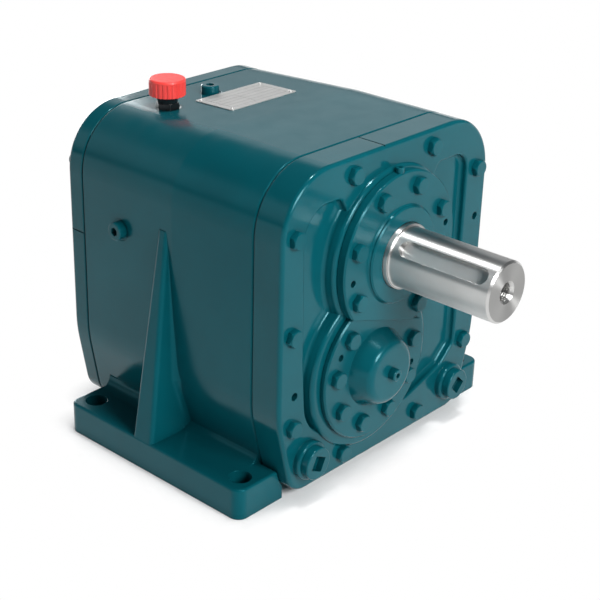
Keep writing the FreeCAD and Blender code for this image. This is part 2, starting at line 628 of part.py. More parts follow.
def socket_plug(size, place, outward):
    """Round plug with a hex socket."""
    hole = hexagon(size["socket"], size["height"], 0.35 * size["height"])
    return aimed(plug_blank(size).cut(hole), place, outward)


def breather_body():
    """Black neck of the breather: screwed end, hexagon, flared collar and a spigot for the cap."""
    nut_height = breather_neck - 8.0
    stem = Part.makeCylinder(breather_shank, 16.0, V(0, 0, -16.0))
    flare = Part.makeCone(breather_flats / 2 - 0.4, breather_collar, breather_neck - nut_height,
                          V(0, 0, nut_height))
    spigot = Part.makeCylinder(breather_shank + 1, 4.0, V(0, 0, breather_neck))
    vent = Part.makeCylinder(breather_shank / 2, 60.0, V(0, 0, -20.0))
    body = stem.fuse([hexagon(breather_flats, nut_height), flare, spigot]).cut(vent)
    return aimed(body, top_seat(breather_x, breather_y), UP)


def breather_cap():
    """Red ribbed cap on the breather's neck."""
    radius, height, flutes, flute_radius = breather_cap_radius, breather_cap_height, 24, 1.6
    cap = Part.makeCylinder(radius, height)
    cap = round_edges(cap, 2.0, lambda edge: edge.BoundBox.ZMin > height - 0.1)
    cuts = [Part.makeCylinder(breather_shank + 1 + seat_gap, 4.5)]
    for i in range(flutes):
        turn = 2 * math.pi * i / flutes
        place = V((radius + 1) * math.cos(turn), (radius + 1) * math.sin(turn), 0)
        cuts.append(Part.makeCylinder(flute_radius, height - 3, place))
    return aimed(cap.cut(cuts), top_seat(breather_x, breather_y) + V(0, 0, breather_neck), UP)


def on_top(x, y, shape):
    """Lay a shape made about the origin on the sloping rear half of the top."""
    laid = shape.copy()
    turn = FreeCAD.Rotation(V(1, 0, 0), -math.degrees(math.atan(rear_slope)))
    laid.Placement = FreeCAD.Placement(V(x, y, top_height(y)), turn)
    return laid


def nameplate():
    """Thin bare plate on the top, with rounded corners and four pin holes."""
    stretch = math.sqrt(1 + rear_slope ** 2)
    corner = V(-plate_length / 2, -plate_width / 2, 0)
    plate = Part.makeBox(plate_length, plate_width, plate_thickness, corner)
    plate = round_edges(plate, 3.0, lambda edge: edge.BoundBox.ZLength > plate_thickness / 2)
    places = [V(x - plate_x, (y - plate_y) * stretch, 0) for x, y in plate_pins()]
    holes = [Part.makeCylinder(plate_pin_radius + 0.2, plate_thickness, place) for place in places]
    return on_top(plate_x, plate_y, plate.cut(holes))


def nameplate_screws():
    """Round-headed drive screws of the nameplate."""
    head = Part.makeSphere(2.6, V(0, 0, plate_thickness - 1))
    head = head.common(Part.makeBox(8, 8, 4, V(-4, -4, plate_thickness)))
    length = plate_pin_length + plate_thickness
    screw = head.fuse(Part.makeCylinder(plate_pin_radius, length, V(0, 0, -plate_pin_length)))
    return Part.makeCompound([on_top(x, y, screw) for x, y in plate_pins()])


def bearing_y(bearing, depth):
    """Place of a depth in from the cup's back."""
    return bearing[3] - bearing[4] * depth


def inner_y(bearing):
    return bearing_y(bearing, bearing[2])


def race_radius(bearing, depth, angle):
    """Radius of a cone through the bearing's apex, at a depth in from the cup's back."""
    bore, outside, width = bearing[:3]
    apex = (bore + outside) / 2 / math.tan(contact_angle) - width / 2
    return (depth + apex) * math.tan(angle)


def roller_half_angle(bearing):
    bore, outside = bearing[:2]
    return math.asin((outside - bore) / 4 * math.sin(contact_angle) / ((bore + outside) / 2))


def bearing_cup(centre, bearing):
    """Outer race, in its bore."""
    outside, width = bearing[1], bearing[2]
    angle = contact_angle + roller_half_angle(bearing)
    end = 0.8 * width
    return turned(centre, [(outside, bearing_y(bearing, 0)), (outside, bearing_y(bearing, end)),
                           (race_radius(bearing, end, angle), bearing_y(bearing, end)),
                           (race_radius(bearing, 0, angle), bearing_y(bearing, 0))])


def bearing_cone(centre, bearing):
    """Inner race with a guide rib at its large end, on its shaft seat."""
    bore, outside, width = bearing[:3]
    angle = contact_angle - roller_half_angle(bearing)
    inside = bore + seat_gap
    rib = race_radius(bearing, width, angle) + 0.17 * (outside - bore)
    start, rib_start = 0.1 * width, 0.88 * width
    return turned(centre, [(inside, bearing_y(bearing, start)),
                           (race_radius(bearing, start, angle), bearing_y(bearing, start)),
                           (race_radius(bearing, rib_start, angle), bearing_y(bearing, rib_start)),
                           (rib, bearing_y(bearing, rib_start)), (rib, inner_y(bearing)),
                           (inside, inner_y(bearing))])


def taper_roller(centre, bearing, grow, first, last):
    """One roller between two depths, lying along the line of contact."""
    tip = math.tan(roller_half_angle(bearing))
    radius0, radius1 = (race_radius(bearing, depth, contact_angle) for depth in (first, last))
    slant0, slant1 = radius0 / math.sin(contact_angle), radius1 / math.sin(contact_angle)
    place = V(centre[0] + radius0, bearing_y(bearing, first), centre[1])
    direction = V(math.sin(contact_angle), -bearing[4] * math.cos(contact_angle), 0)
    return Part.makeCone(slant0 * tip + grow, slant1 * tip + grow, slant1 - slant0, place, direction)


def bearing_rollers(centre, bearing):
    """Taper rollers in a sheet cage, between the two races."""
    bore, outside, width = bearing[:3]
    roller = (outside - bore) / 2
    start, end = 0.2 * width, 0.79 * width
    count = int(math.pi * (bore + outside) / (1.5 * roller))

    def around(shape):
        copies = [shape.copy() for i in range(count)]
        for i, copy in enumerate(copies):
            copy.rotate(V(centre[0], 0, centre[1]), REAR, 360.0 * i / count)
        return copies

    low, high = 0.16 * roller, 0.30 * roller
    ring = [(0.1 * width, low), (0.1 * width, high), (0.9 * width, high), (0.9 * width, low)]
    cage = turned(centre, [(race_radius(bearing, depth, contact_angle) + lift, bearing_y(bearing, depth))
                           for depth, lift in ring])
    windows = around(taper_roller(centre, bearing, window_gap, start - window_gap, end + window_gap))
    rollers = around(taper_roller(centre, bearing, -roller_gap, start, end))
    return Part.makeCompound([cage.cut(windows)] + rollers)


def involute(angle):
    return math.tan(angle) - angle


def tooth_edges(centre, teeth, module, transverse, y, turn):
    """Edges of a gear's outline in the plane y, with involute flanks as arcs through three points."""
    helix = math.acos(module / transverse)
    pressure = math.atan(math.tan(pressure_angle) / math.cos(helix))
    pitch = teeth * transverse / 2
    base = pitch * math.cos(pressure)
    tip, root = pitch + module, pitch - 1.25 * module
    at_pitch = math.pi / 2 / teeth - tooth_thinning / 2 / pitch
    low = max(base, root)
    mid = (low + tip) / 2

    def flank(radius, middle, side):
        half = at_pitch + involute(pressure) - involute(math.acos(min(1.0, base / max(radius, low))))
        return polar(centre, radius, middle + side * half, y)

    edges = []
    for i in range(teeth):
        middle = turn + 2 * math.pi * i / teeth
        following = middle + 2 * math.pi / teeth
        rising = [flank(radius, middle, -1) for radius in (low, mid, tip)]
        falling = [flank(radius, middle, 1) for radius in (tip, mid, low)]
        if root < low:
            edges.append(Part.LineSegment(flank(root, middle, -1), rising[0]))
        edges.append(Part.Arc(*rising))
        edges.append(Part.Arc(rising[2], polar(centre, tip, middle, y), falling[0]))
        edges.append(Part.Arc(*falling))
        if root < low:
            edges.append(Part.LineSegment(falling[2], flank(root, middle, 1)))
        gap = polar(centre, root, middle + math.pi / teeth, y)
        edges.append(Part.Arc(flank(root, middle, 1), gap, flank(root, following, -1)))
    return [edge.toShape() for edge in edges]


def helical_teeth(centre, teeth, module, transverse, span, tooth_at, hand, steps):
    """Toothed body of ruled faces between sections that turn with the helix."""
    helix = math.acos(module / transverse)
    pitch = teeth * transverse / 2
    middle = sum(span) / 2
    sections = []
    for i in range(steps + 1):
        y = span[0] + (span[1] - span[0]) * i / steps
        turn = tooth_at + hand * (y - middle) * math.tan(helix) / pitch
        sections.append(tooth_edges(centre, teeth, module, transverse, y, turn))
    faces = [Part.Face(Part.Wire(sections[0])), Part.Face(Part.Wire(sections[-1]))]
    for near, far in zip(sections, sections[1:]):
        faces += [Part.makeRuledSurface(a, b) for a, b in zip(near, far)]
    shell = Part.makeShell(faces)
    shell.sewShape()
    return Part.makeSolid(shell.Shells[0])


def wheel_recesses(centre, hub, rim, depth, span):
    """Dished web on both sides of a gear wheel."""
    slope = 3.0
    floors = ((span[0], span[0] + depth), (span[1], span[1] - depth))
    return [turned(centre, [(hub, face), (rim, face), (rim - slope, floor), (hub + slope, floor)])
            for face, floor in floors]


def key_slot(centre, seat, key, y0, y1):
    """Room for a gear's key above and below the surface of its shaft seat."""
    width, height, depth = key
    return Part.makeBox(width, y1 - y0, height + 0.5, V(centre[0] - width / 2, y0, centre[1] + seat - depth))


def fitted_key(centre, seat, key, y0, y1):
    """Parallel key under a gear, pointing up."""
    width, height, depth = key
    return Part.makeBox(width - 2 * seat_gap, y1 - y0, height,
                        V(centre[0] - width / 2 + seat_gap, y0, centre[1] + seat - depth + seat_gap))


def key_span(face):
    """Length that a gear's key takes under the gear."""
    return face[0] + 3.0, face[1] - 3.0


def end_keyway(radius, angle, width, depth, span):
    """Closed keyway cutter: a slot with round ends along Y, cut down from a shaft end's surface."""
    ends = (span[0] + width / 2, span[1] - width / 2)
    slot = Part.makeBox(width, ends[1] - ends[0], 2 * depth, V(-width / 2, ends[0], radius - depth))
    slot = slot.fuse([Part.makeCylinder(width / 2, 2 * depth, V(0, y, radius - depth)) for y in ends])
    slot.rotate(V(0, 0, 0), FRONT, angle - 90.0)
    slot.translate(V(main[0], 0, main[1]))
    return slot.removeSplitter()


def output_shaft():
    """Stepped output shaft: shaft end, seal land, front seat, collar, gear seat, rear seat."""
    end, seal = output_end_radius, output_front_bearing[0]
    front_inner, rear_seat = inner_y(output_front_bearing), output_rear_bearing[0]
    gear_end = low_face[1] - 0.5
    shaft = turned(main, [(0, output_end), (end - output_chamfer, output_end),
                          (end, output_end + output_chamfer), (end, output_shoulder),
                          (seal - 0.3, output_shoulder), (seal, output_shoulder + 0.3),
                          (seal, front_inner), (output_collar, front_inner), (output_collar, low_face[0]),
                          (output_gear_seat, low_face[0]), (output_gear_seat, gear_end),
                          (rear_seat, gear_end), (rear_seat, output_shaft_back - 1.5),
                          (rear_seat - 1.5, output_shaft_back), (0, output_shaft_back)])

    def shoulder_root(edge):
        return edges_at(output_shoulder)(edge) and edge.BoundBox.ZLength < 2 * end + 0.1

    shaft = round_edges(shaft, shoulder_fillet, shoulder_root)
    keyway = end_keyway(end, output_key_angle, output_key_width, output_key_depth, output_keyway)
    tap = drum(main, output_tap_radius, output_end, output_end + output_tap_depth)
    mouth = Part.makeCone(output_tap_mouth, output_tap_radius, 3.2, V(main[0], output_end, main[1]), REAR)
    slot = key_slot(main, output_gear_seat, output_gear_key, *key_span(low_face))
    return shaft.cut([keyway, tap, mouth, slot]).removeSplitter()


def output_gear():
    """Helical output gear with a dished web, keyed on the output shaft."""
    gear = helical_teeth(main, output_teeth, low_module, low_transverse, low_face, line_of_centres, 1, 2)
    cuts = wheel_recesses(main, 50.0, 73.0, 12.0, low_face)
    cuts.append(drum(main, output_gear_seat + seat_gap, *low_face))
    cuts.append(key_slot(main, output_gear_seat, output_gear_key, *low_face))
    return gear.cut(cuts)


def spacer_sleeve(centre, bore, outside, y0, y1):
    return drum(centre, outside, y0, y1).cut(drum(centre, bore + seat_gap, y0, y1))


def countershaft():
    """Countershaft with its own helical pinion, a long collar and a rear gear seat."""
    span = (low_face[0] - pinion_overhang, low_face[1] + pinion_overhang)
    space_at_mate = line_of_centres + math.pi + math.pi / pinion_teeth
    pinion = helical_teeth(counter, pinion_teeth, low_module, low_transverse, span, space_at_mate, -1, 4)
    front_seat, rear_seat = counter_front_bearing[0], counter_rear_bearing[0]
    front_inner, rear_end = inner_y(counter_front_bearing), counter_rear_bearing[3]
    gear_end = high_face[1] - 0.5
    front_back, gear_seat = counter_front_bearing[3], counter_gear_seat
    shaft = turned(counter, [(0, counter_stub), (front_seat - 2.5, counter_stub),
                             (front_seat - 1, counter_stub + 1.5), (front_seat - 1, front_back),
                             (front_seat, front_back + 1), (front_seat, front_inner),
                             (counter_neck, front_inner), (counter_neck, span[1] + 6),
                             (counter_collar, span[1] + 8), (counter_collar, high_face[0]),
                             (gear_seat, high_face[0]), (gear_seat, gear_end), (rear_seat, gear_end),
                             (rear_seat, rear_end - 1), (rear_seat - 1.5, rear_end + 0.5),
                             (0, rear_end + 0.5)])
    slot = key_slot(counter, counter_gear_seat, fast_gear_key, *key_span(high_face))
    return shaft.fuse(pinion).cut(slot)


def high_speed_gear():
    """Helical gear on the countershaft, driven by the input pinion."""
    tooth_at_mate = line_of_centres + math.pi
    gear = helical_teeth(counter, fast_teeth, high_module, high_transverse, high_face, tooth_at_mate, 1, 2)
    cuts = wheel_recesses(counter, 38.0, 74.0, 10.0, high_face)
    cuts.append(drum(counter, counter_gear_seat + seat_gap, *high_face))
    cuts.append(key_slot(counter, counter_gear_seat, fast_gear_key, *high_face))
    return gear.cut(cuts)


def input_pinion_shaft():
    """Input shaft with its pinion, running in the web and in the rear cover."""
    span = (high_face[0] - pinion_overhang, high_face[1] + pinion_overhang)
    space_at_mate = line_of_centres + math.pi / input_teeth
    pinion = helical_teeth(main, input_teeth, high_module, high_transverse, span, space_at_mate, -1, 3)
    front_seat, rear_seat = input_front_bearing[0], input_rear_bearing[0]
    front_inner, rear_inner = inner_y(input_front_bearing), inner_y(input_rear_bearing)
    front_end, rear_end, end = input_front_bearing[3] - 3, input_rear_bearing[3], input_end_radius
    shaft = turned(main, [(0, front_end), (front_seat - 1.5, front_end), (front_seat, front_end + 1.5),
                          (front_seat, front_inner), (front_seat + 5, front_inner), (front_seat + 5, span[0]),
                          (input_neck, span[0]), (input_neck, rear_inner), (rear_seat, rear_inner),
                          (rear_seat, rear_end), (input_land, rear_end), (input_land, input_shoulder - 1),
                          (end, input_shoulder), (end, input_end - input_chamfer),
                          (end - input_chamfer, input_end), (0, input_end)])
    keyway = end_keyway(end, input_key_angle, input_key_width, input_key_depth, input_keyway)
    tap = drum(main, input_tap_radius, input_end - input_tap_depth, input_end)
    return shaft.fuse(pinion).cut([keyway, tap])


def oil_seal(land, outside, span):
    """Lip seal: a ring in its pocket with a slim lip that runs on the shaft."""
    lip = land + lip_gap
    rim = outside - seat_gap
    middle = sum(span) / 2
    return turned(main, [(rim, span[0]), (rim, span[1]), (lip + 4, span[1]), (lip + 2, middle + 1),
                         (lip, middle + 0.8), (lip, middle - 0.8), (lip + 2, middle - 1),
                         (lip + 2.5, span[0])])


def fixed_nodes():
    """The casting, its covers and caps, and what is fastened to them."""
    shim_y = boss_face - shim_thickness
    output_places = on_circle(main, output_cap_circle, output_cap_angles)
    counter_places = on_circle(counter, counter_cap_circle, counter_cap_angles)
    input_places = on_circle(main, input_cap_circle, input_cap_angles)
    rear_places = on_circle(counter, rear_cap_circle, rear_cap_angles)
    dome_seat = V(counter[0], dome_face, counter[1])
    return {
        "gear_housing": gear_housing(),
        "front_cover": front_cover(),
        "rear_cover": rear_cover(),
        "front_gasket": joint_gasket(cover_back, front_size, front_bolts, dowels),
        "rear_gasket": joint_gasket(housing_span[1], rear_size, rear_bolts, []),
        "output_seal_cage": output_seal_cage(),
        "countershaft_cover": countershaft_cover(),
        "input_seal_cage": input_seal_cage(),
        "countershaft_rear_cap": countershaft_rear_cap(),
        "output_cage_shims": cap_shims(main, output_front_bearing[1], output_cap_radius, output_cap_circle,
                                       output_cap_angles, shim_y, [beyond_chord(False)]),
        "countershaft_cover_shims": cap_shims(counter, counter_front_bearing[1], counter_cap_radius,
                                              counter_cap_circle, counter_cap_angles, shim_y,
                                              [beyond_chord(True)]),
        "input_cage_shims": cap_shims(main, input_rear_bearing[1], input_cap_radius, input_cap_circle,
                                      input_cap_angles, rear_face, []),
        "rear_cap_shims": cap_shims(counter, counter_rear_bearing[1], rear_cap_radius, rear_cap_circle,
                                    rear_cap_angles, rear_face, []),
        "front_cover_bolts": bolt_group(m10, 55.0, both_sides(front_bolts), front_face, FRONT),
        "output_cage_bolts": bolt_group(m10, 28.0, output_places, output_cap_face, FRONT),
        "countershaft_cover_bolts": bolt_group(m10, 28.0, counter_places, counter_cap_face, FRONT),
        "rear_cover_bolts": bolt_group(m10, 42.0, both_sides(rear_bolts), rear_face, REAR),
        "input_cage_bolts": bolt_group(m8, 24.0, input_places, input_cap_face, REAR),
        "rear_cap_bolts": bolt_group(m8, 24.0, rear_places, rear_cap_face, REAR),
        "dowel_pins": Part.makeCompound(drums(dowels, dowel_radius, front_joint - dowel_half_length,
                                              front_joint + dowel_half_length)),
        "drain_plug_left": drain_plug(-1, -26.0),
        "drain_plug_right": drain_plug(1, 45.0),
        "level_plug": socket_plug(wall_plug_size, level_seat(), LEFT),
        "fill_plug": socket_plug(wall_plug_size, top_seat(fill_x, fill_y), UP),
        "dome_plug": socket_plug(dome_plug_size, dome_seat, FRONT),
        "purge_plug": socket_plug(purge_plug_size, purge_seat(), UP),
        "breather_body": breather_body(),
        "breather_cap": breather_cap(),
        "nameplate": nameplate(),
        "nameplate_screws": nameplate_screws(),
        "output_oil_seal": oil_seal(output_front_bearing[0], output_seal_radius, output_seal_span),
        "input_oil_seal": oil_seal(input_land, input_seal_radius, input_seal_span),
    }


def turning_nodes():
    """The three shafts with their gears, keys and spacers."""
    return {
        "output_shaft": output_shaft(),
        "output_gear": output_gear(),
        "output_gear_key": fitted_key(main, output_gear_seat, output_gear_key, *key_span(low_face)),
        "output_spacer": spacer_sleeve(main, output_rear_bearing[0], output_spacer_radius, low_face[1],
                                       inner_y(output_rear_bearing)),
        "countershaft": countershaft(),
        "high_speed_gear": high_speed_gear(),
        "high_speed_gear_key": fitted_key(counter, counter_gear_seat, fast_gear_key, *key_span(high_face)),
        "countershaft_spacer": spacer_sleeve(counter, counter_rear_bearing[0], counter_spacer_radius,
                                             high_face[1], inner_y(counter_rear_bearing)),
        "input_pinion_shaft": input_pinion_shaft(),
    }


def bearing_nodes():
    """Cup, cone and roller set of each bearing."""
    bearings = {"output_front": (main, output_front_bearing), "output_rear": (main, output_rear_bearing),
                "countershaft_front": (counter, counter_front_bearing),
                "countershaft_rear": (counter, counter_rear_bearing),
                "input_front": (main, input_front_bearing), "input_rear": (main, input_rear_bearing)}
    nodes = {}
    for name, (centre, bearing) in bearings.items():
        nodes[name + "_bearing_cup"] = bearing_cup(centre, bearing)
        nodes[name + "_bearing_cone"] = bearing_cone(centre, bearing)
        nodes[name + "_bearing_rollers"] = bearing_rollers(centre, bearing)
    return nodes


os.makedirs("parts", exist_ok=True)
for nodes in (fixed_nodes(), turning_nodes(), bearing_nodes()):
    for name, shape in nodes.items():
        shape.exportStep("parts/" + name + ".step")
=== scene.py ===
import json
import math

import bpy
from mathutils import Matrix, Vector

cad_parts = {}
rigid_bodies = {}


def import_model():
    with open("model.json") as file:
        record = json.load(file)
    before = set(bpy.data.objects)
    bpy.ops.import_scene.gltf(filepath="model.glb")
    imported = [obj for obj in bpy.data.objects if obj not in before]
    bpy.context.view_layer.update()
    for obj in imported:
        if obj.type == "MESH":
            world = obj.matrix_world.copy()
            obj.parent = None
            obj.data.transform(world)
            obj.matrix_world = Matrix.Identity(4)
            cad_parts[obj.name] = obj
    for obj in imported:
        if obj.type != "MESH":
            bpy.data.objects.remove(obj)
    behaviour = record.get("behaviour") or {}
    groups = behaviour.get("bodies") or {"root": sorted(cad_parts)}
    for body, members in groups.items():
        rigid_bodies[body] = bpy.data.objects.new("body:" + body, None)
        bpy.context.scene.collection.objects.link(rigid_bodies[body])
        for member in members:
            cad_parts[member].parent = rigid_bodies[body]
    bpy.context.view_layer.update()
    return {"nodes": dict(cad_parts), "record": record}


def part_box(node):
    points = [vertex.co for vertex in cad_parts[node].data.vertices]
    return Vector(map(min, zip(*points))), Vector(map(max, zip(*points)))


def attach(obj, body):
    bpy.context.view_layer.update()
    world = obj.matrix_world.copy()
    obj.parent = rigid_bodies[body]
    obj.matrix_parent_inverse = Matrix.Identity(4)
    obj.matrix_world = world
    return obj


for startup_object in list(bpy.data.objects):
    bpy.data.objects.remove(startup_object)
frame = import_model()
nodes = frame["nodes"]


# Gear housing: one hollow grey iron casting with two foot bars and a rib on each side.
# The sand-cast skin is filled, then sprayed with a glossy blue-green enamel, darkened in the corners
# as painted shade and partly as enamel pooled there.

teal = (0.0015, 0.076, 0.096)
teal_deep = (0.001, 0.043, 0.056)
casting_sheen = (0.12, 0.64, 0.78, 1.0)
enamel_reflection = 0.36
corner_samples = 4


def blank_finish(name):
    """New material with its node tree, its shader and the piece's own coordinates in metres."""
    material = bpy.data.materials.new(name)
    material.use_nodes = True
    tree = material.node_tree
    place = tree.nodes.new("ShaderNodeTexCoord").outputs["Object"]
    return material, tree, tree.nodes["Principled BSDF"], place


def noise(tree, place, scale, detail=3.0, roughness=0.5):
    """Soft random field with a feature size of about 1 / scale metres."""
    node = tree.nodes.new("ShaderNodeTexNoise")
    node.inputs["Scale"].default_value = scale
    node.inputs["Detail"].default_value = detail
    node.inputs["Roughness"].default_value = roughness
    tree.links.new(place, node.inputs["Vector"])
    return node.outputs["Fac"]


def spread(tree, value, low, high, start=0.3, end=0.7):
    """A field that runs from start to end, mapped on to low to high."""
    node = tree.nodes.new("ShaderNodeMapRange")
    for name, number in (("From Min", start), ("From Max", end), ("To Min", low), ("To Max", high)):
        node.inputs[name].default_value = number
    tree.links.new(value, node.inputs["Value"])
    return node.outputs["Result"]


def blended(tree, factor, first, second):
    """Colour between two colours, or between a colour field and a colour."""
    node = tree.nodes.new("ShaderNodeMix")
    node.data_type = "RGBA"
    first_colour, second_colour, mixed_colour = node.inputs[6], node.inputs[7], node.outputs[2]
    tree.links.new(factor, node.inputs["Factor"])
    for socket, colour in ((first_colour, first), (second_colour, second)):
        if isinstance(colour, tuple):
            socket.default_value = (*colour, 1.0)
        else:
            tree.links.new(colour, socket)
    return mixed_colour


def bumped(tree, height, distance, strength, under=None):
    """Normal from a height field, on top of another normal."""
    node = tree.nodes.new("ShaderNodeBump")
    node.inputs["Distance"].default_value = distance
    node.inputs["Strength"].default_value = strength
    tree.links.new(height, node.inputs["Height"])
    if under is not None:
        tree.links.new(under, node.inputs["Normal"])
    return node.outputs["Normal"]


def softened_edges(tree, radius):
    """Normal that rounds the sharp edges, as a coat of paint or a deburring wheel does."""
    node = tree.nodes.new("ShaderNodeBevel")
    node.samples = corner_samples
    node.inputs["Radius"].default_value = radius
    return node.outputs["Normal"]


def hollows(tree, reach):
    """0 in tight corners, 1 in the open."""
    node = tree.nodes.new("ShaderNodeAmbientOcclusion")
    node.samples = corner_samples
    node.inputs["Distance"].default_value = reach
    return node.outputs["AO"]


def dress(material, *names):
    """Put one finish on pieces that come from the frame."""
    for name in names:
        nodes[name].data.materials.clear()
        nodes[name].data.materials.append(material)


def enamel(name, sheen, gloss, waviness, edge):
    """Sprayed enamel: drifting colour, corners darkened as painted shade and pooled enamel, orange peel over
    the casting's waves.
    """
    material, tree, shader, place = blank_finish(name)
    drift = spread(tree, noise(tree, place, scale=11.0, detail=4.0), low=0.0, high=0.35)
    tone = blended(tree, drift, teal, teal_deep)
    # Painted shade: ambient occlusion darkens the colour in the corners, partly standing for pooled enamel.
    corner_shade_and_pooling = spread(tree, hollows(tree, reach=0.010), low=0.75, high=0.0, start=0.25, end=0.85)
    tree.links.new(blended(tree, corner_shade_and_pooling, tone, teal_deep), shader.inputs["Base Color"])
    cloudy = noise(tree, place, scale=45.0, detail=5.0)
    tree.links.new(spread(tree, cloudy, low=gloss - 0.03, high=gloss + 0.05), shader.inputs["Roughness"])
    waves = noise(tree, place, scale=55.0, detail=2.0)
    orange_peel = noise(tree, place, scale=420.0, detail=2.0)
    skin = bumped(tree, waves, distance=0.0010, strength=waviness, under=softened_edges(tree, edge))
    skin = bumped(tree, orange_peel, distance=0.0003, strength=0.10, under=skin)
    tree.links.new(skin, shader.inputs["Normal"])
    shader.inputs["Specular IOR Level"].default_value = enamel_reflection
    shader.inputs["Specular Tint"].default_value = sheen
    return material


housing_paint = enamel("housing_paint", casting_sheen, gloss=0.19, waviness=0.10, edge=0.0012)
dress(housing_paint, "gear_housing")


# Covers: a thick front cover and a flat rear one, cast in iron, faced on the joint and painted with the
# housing. Dark fibre gaskets lie a little inside the two joints, so that each joint shows as a fine line.

cover_sheen = (0.34, 0.74, 0.83, 1.0)
cover_paint = enamel("cover_paint", cover_sheen, gloss=0.12, waviness=0.07, edge=0.0010)
dress(cover_paint, "front_cover", "rear_cover")

fibre_dark = (0.004, 0.010, 0.012)
fibre_pale = (0.012, 0.026, 0.030)
gasket_fibre, tree, shader, place = blank_finish("gasket_fibre")
fibres = noise(tree, place, scale=900.0, detail=6.0, roughness=0.7)
tree.links.new(blended(tree, fibres, fibre_dark, fibre_pale), shader.inputs["Base Color"])
tree.links.new(bumped(tree, fibres, distance=0.0002, strength=0.4), shader.inputs["Normal"])
shader.inputs["Roughness"].default_value = 0.8
dress(gasket_fibre, "front_gasket", "rear_gasket")


# Caps: turned iron seal cages round the two shaft ends, and closed covers over the countershaft's bearings.
# They are bolted on over thin steel shims that set the play of the bearings, and painted with the covers.

cap_paint = enamel("cap_paint", cover_sheen, gloss=0.20, waviness=0.04, edge=0.0008)
dress(cap_paint, "output_seal_cage", "countershaft_cover", "input_seal_cage", "countershaft_rear_cap")

joint_places = {joint["name"]: joint["pos_m"] for joint in frame["record"]["behaviour"]["joints"]}
main_axis = (joint_places["output_spin"][0], joint_places["output_spin"][2])
counter_axis = (joint_places["countershaft_spin"][0], joint_places["countershaft_spin"][2])


def reckoned(tree, operation, first, second=None):
    """One sum on fields or plain numbers."""
    node = tree.nodes.new("ShaderNodeMath")
    node.operation = operation
    for socket, value in zip(node.inputs, (first, second)):
        if isinstance(value, (int, float)):
            socket.default_value = value
        elif value is not None:
            tree.links.new(value, socket)
    return node.outputs[0]


def worked_steel(name, light, dark, gloss, lines, axis):
    """Bare steel with fine tool lines round the axis of its shaft, and painted shade darkening the faces
    turned to the ends.
    """
    material, tree, shader, place = blank_finish(name)
    spot = tree.nodes.new("ShaderNodeSeparateXYZ")
    tree.links.new(place, spot.inputs["Vector"])
    outwards = tree.nodes.new("ShaderNodeCombineXYZ")
    tree.links.new(reckoned(tree, "SUBTRACT", spot.outputs["X"], axis[0]), outwards.inputs["X"])
    tree.links.new(reckoned(tree, "SUBTRACT", spot.outputs["Z"], axis[1]), outwards.inputs["Y"])
    radius = tree.nodes.new("ShaderNodeVectorMath")
    radius.operation = "LENGTH"
    tree.links.new(outwards.outputs[0], radius.inputs[0])
    turning = tree.nodes.new("ShaderNodeTexNoise")
    turning.noise_dimensions = "1D"
    turning.inputs["Scale"].default_value = lines
    turning.inputs["Detail"].default_value = 4.0
    tree.links.new(reckoned(tree, "ADD", radius.outputs["Value"], spot.outputs["Y"]), turning.inputs["W"])
    tool_lines = turning.outputs["Fac"]

    stain = noise(tree, place, scale=28.0, detail=5.0)
    tone = blended(tree, spread(tree, stain, low=0.0, high=0.4), light, dark)
    tone = blended(tree, spread(tree, tool_lines, low=0.0, high=0.22), tone, dark)
    # Painted shade: faces turned towards the shaft's ends are darkened.
    facing = tree.nodes.new("ShaderNodeSeparateXYZ")
    tree.links.new(place.node.outputs["Normal"], facing.inputs["Vector"])
    endwise = reckoned(tree, "ABSOLUTE", facing.outputs["Y"])
    end_face_shade = spread(tree, endwise, low=0.0, high=0.85, start=0.85, end=0.98)
    end_shade = 0.65
    end_tone = tuple(end_shade * channel for channel in dark)
    tree.links.new(blended(tree, end_face_shade, tone, end_tone), shader.inputs["Base Color"])
    polish = spread(tree, tool_lines, low=gloss - 0.03, high=gloss + 0.05)
    tree.links.new(polish, shader.inputs["Roughness"])
    deburred = softened_edges(tree, radius=0.0006)
    skin = bumped(tree, tool_lines, distance=0.00004, strength=0.12, under=deburred)
    tree.links.new(skin, shader.inputs["Normal"])

    round_axis = tree.nodes.new("ShaderNodeTangent")
    round_axis.direction_type = "RADIAL"
    round_axis.axis = "Y"
    tree.links.new(round_axis.outputs["Tangent"], shader.inputs["Tangent"])
    shader.inputs["Anisotropic"].default_value = 0.9
    shader.inputs["Anisotropic Rotation"].default_value = 0.25
    shader.inputs["Metallic"].default_value = 1.0
    return material


shim_steel = worked_steel("shim_steel", light=(0.50, 0.50, 0.48), dark=(0.30, 0.30, 0.29), gloss=0.30,
                          lines=900.0, axis=main_axis)
dress(shim_steel, "output_cage_shims", "countershaft_cover_shims", "input_cage_shims", "rear_cap_shims")


# Bolts and dowels: plain steel hex bolts hold the covers and caps and are painted over once they are tight.
# Two ground dowel pins set the front cover on the housing and stay bare in their holes.

bolt_paint = enamel("bolt_paint", cover_sheen, gloss=0.14, waviness=0.03, edge=0.0006)
dress(bolt_paint, "front_cover_bolts", "output_cage_bolts", "countershaft_cover_bolts", "rear_cover_bolts",
      "input_cage_bolts", "rear_cap_bolts")
pin_steel = worked_steel("pin_steel", light=(0.55, 0.55, 0.54), dark=(0.36, 0.36, 0.35), gloss=0.28,
                         lines=800.0, axis=main_axis)
dress(pin_steel, "dowel_pins")


# Plugs: steel drain, level, fill, dome and purge plugs, turned and broached with a socket for the key.
# They are screwed into the castings with sealant and painted over with the rest.

plug_paint = enamel("plug_paint", cover_sheen, gloss=0.13, waviness=0.04, edge=0.0006)
dress(plug_paint, "drain_plug_left", "drain_plug_right", "level_plug", "fill_plug", "dome_plug",
      "purge_plug")


# Breather: a black moulded neck that is screwed into the top of the housing.
# A red plastic cap with ribs for the fingers is pushed on to it and keeps dirt out of the vent.


